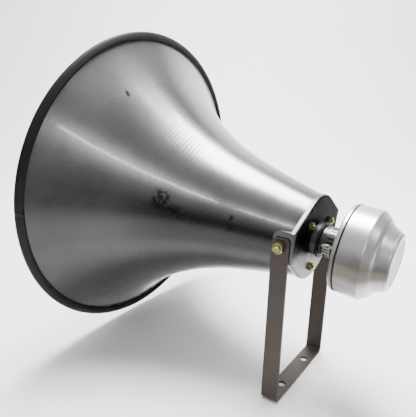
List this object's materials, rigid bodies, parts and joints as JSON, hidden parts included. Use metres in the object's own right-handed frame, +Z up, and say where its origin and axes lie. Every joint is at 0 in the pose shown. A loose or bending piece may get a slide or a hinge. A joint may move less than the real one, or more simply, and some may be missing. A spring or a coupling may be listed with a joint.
{
  "type": "horn loudspeaker",
  "caption": "Re-entrant horn loudspeaker: flared metal bell with a rubber-edged mouth, a screw-on compression driver behind it and a tilting U-bracket.",
  "frame": {"origin": "midway between the two bracket bolt holes, on the bracket's underside", "axes": "+Z up, +Y towards the driver (the mouth faces -Y), +X along the tilt axis"},
  "size_m": [0.5088, 0.4797, 0.5161],
  "materials": {
    "spun_aluminium": "bare spun sheet with turning lines and handling smudges",
    "inner_aluminium": "bare spun sheet",
    "cast_aluminium": "as cast",
    "black_rubber": "satin moulded rubber",
    "plate_steel": "pressed sheet with scuffs",
    "plain_steel": "plain",
    "bright_steel": "bright",
    "yellow_zinc": "yellow zinc plated",
    "silver_paint": "silver-grey gloss paint",
    "grey_brown_paint": "dark grey-brown satin paint",
    "blank_nameplate": "blank satin foil",
    "phenolic": "resin-treated",
    "copper_wire": "enamelled",
    "ferrite": "ground",
    "terminal_brass": "plain"
  },
  "bodies": {
    "bracket": {"u_bracket": "grey_brown_paint", "pivot_bolts": "yellow_zinc", "pivot_washers": "yellow_zinc", "pivot_nuts": "yellow_zinc"},
    "horn": {"horn_bell": "spun_aluminium", "mouth_trim": "black_rubber", "ear_plate": "plate_steel", "tone_tube": "cast_aluminium", "reflector_cone": "inner_aluminium", "reflector_spacers": "plain_steel", "reflector_studs": "yellow_zinc", "stud_rear_nuts": "yellow_zinc", "stud_front_nuts": "yellow_zinc", "throat_gasket": "black_rubber", "clamp_band": "bright_steel", "clamp_housing": "bright_steel", "driver_front_housing": "silver_paint", "housing_screws": "plain_steel", "motor_screws": "plain_steel", "seam_gasket": "black_rubber", "driver_rear_housing": "silver_paint", "rear_cap": "silver_paint", "nameplate_disc": "blank_nameplate", "phase_plug": "cast_aluminium", "diaphragm_surround": "phenolic", "surround_spacer": "phenolic", "top_plate": "plain_steel", "ferrite_magnet": "ferrite", "back_plate_and_pole": "plain_steel", "terminal_board": "phenolic", "terminal_posts": "terminal_brass", "cable_grommet": "black_rubber"},
    "diaphragm": {"diaphragm": "phenolic", "coil_former": "inner_aluminium", "coil_winding": "copper_wire"},
    "clamp_screw": {"clamp_screw": "yellow_zinc"}
  },
  "joints": [
    {"name": "horn_tilt", "type": "hinge", "parent": "bracket", "child": "horn", "pos_m": [0, 0, 0.236], "axis": [1, 0, 0], "range_deg": [-225, 55]},
    {"name": "diaphragm_travel", "type": "slide", "parent": "horn", "child": "diaphragm", "axis": [0, 0.9954, -0.0958], "range_m": [-0.0004, 0.0004], "stiffness_N_per_m": 3000},
    {"name": "clamp_screw_turn", "type": "hinge", "parent": "horn", "child": "clamp_screw", "pos_m": [0.0265, 0.0422, 0.22559], "axis": [0.0872, 0.0955, 0.9916], "continuous": true}
  ]
}
